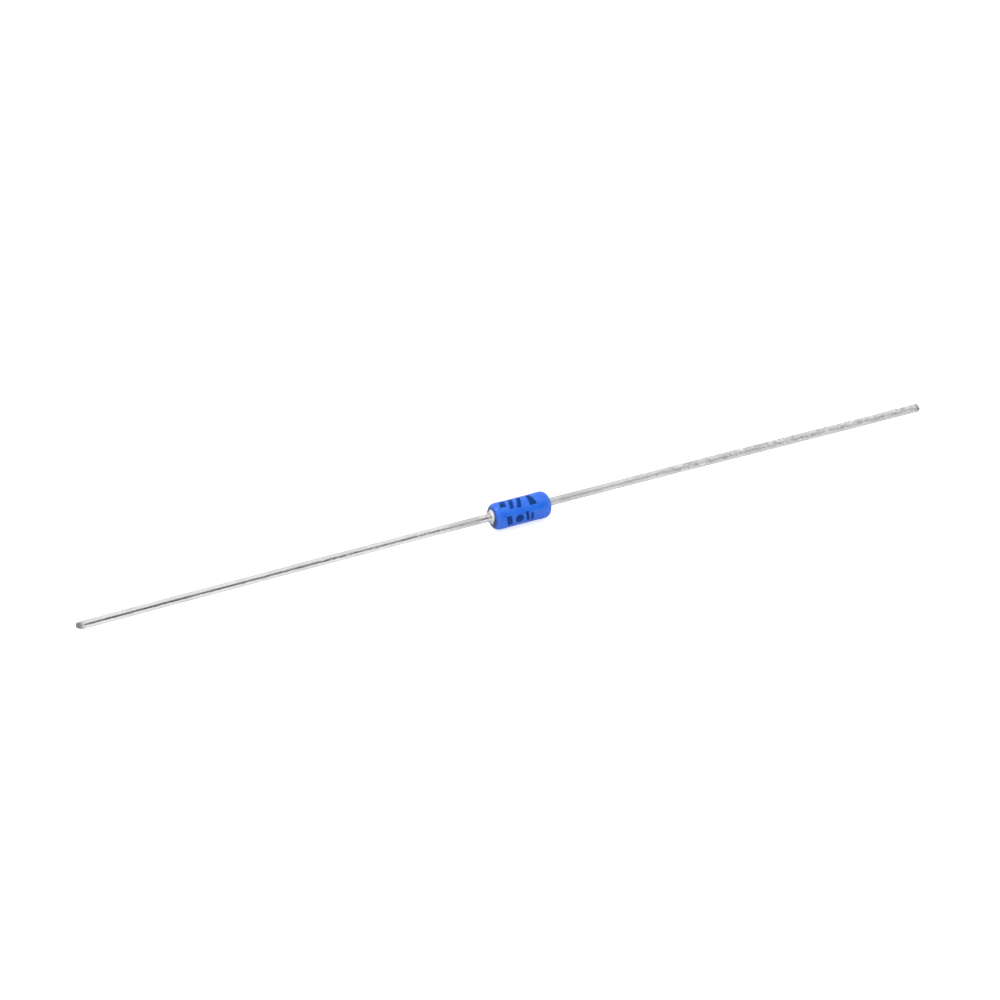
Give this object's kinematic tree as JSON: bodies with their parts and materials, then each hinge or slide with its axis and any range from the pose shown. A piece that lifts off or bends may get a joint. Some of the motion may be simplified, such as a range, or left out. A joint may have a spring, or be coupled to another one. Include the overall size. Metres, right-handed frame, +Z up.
{
  "type": "diac",
  "caption": "Two-terminal trigger diode in a blue-lacquered glass sleeve with a straight tinned wire lead along the axis at each end.",
  "frame": {"origin": "centre of the body", "axes": "+X along the leads, from the left lead to the right lead; +Y and +Z across the round body, +Z up when it lies on a surface"},
  "size_m": [0.062, 0.0018, 0.0018],
  "materials": {
    "clear_glass": "gloss",
    "blue_lacquer": "gloss",
    "copper_clad_stud": "satin",
    "silicon": "satin",
    "silver": "satin",
    "tinned_wire": "satin"
  },
  "bodies": {
    "root": {"glass_sleeve": "clear_glass", "lacquer_coat": "blue_lacquer", "stud_left": "copper_clad_stud", "stud_right": "copper_clad_stud", "chip": "silicon", "contact_bump_left": "silver", "contact_bump_right": "silver", "lead_left": "tinned_wire", "lead_right": "tinned_wire"}
  },
  "joints": []
}
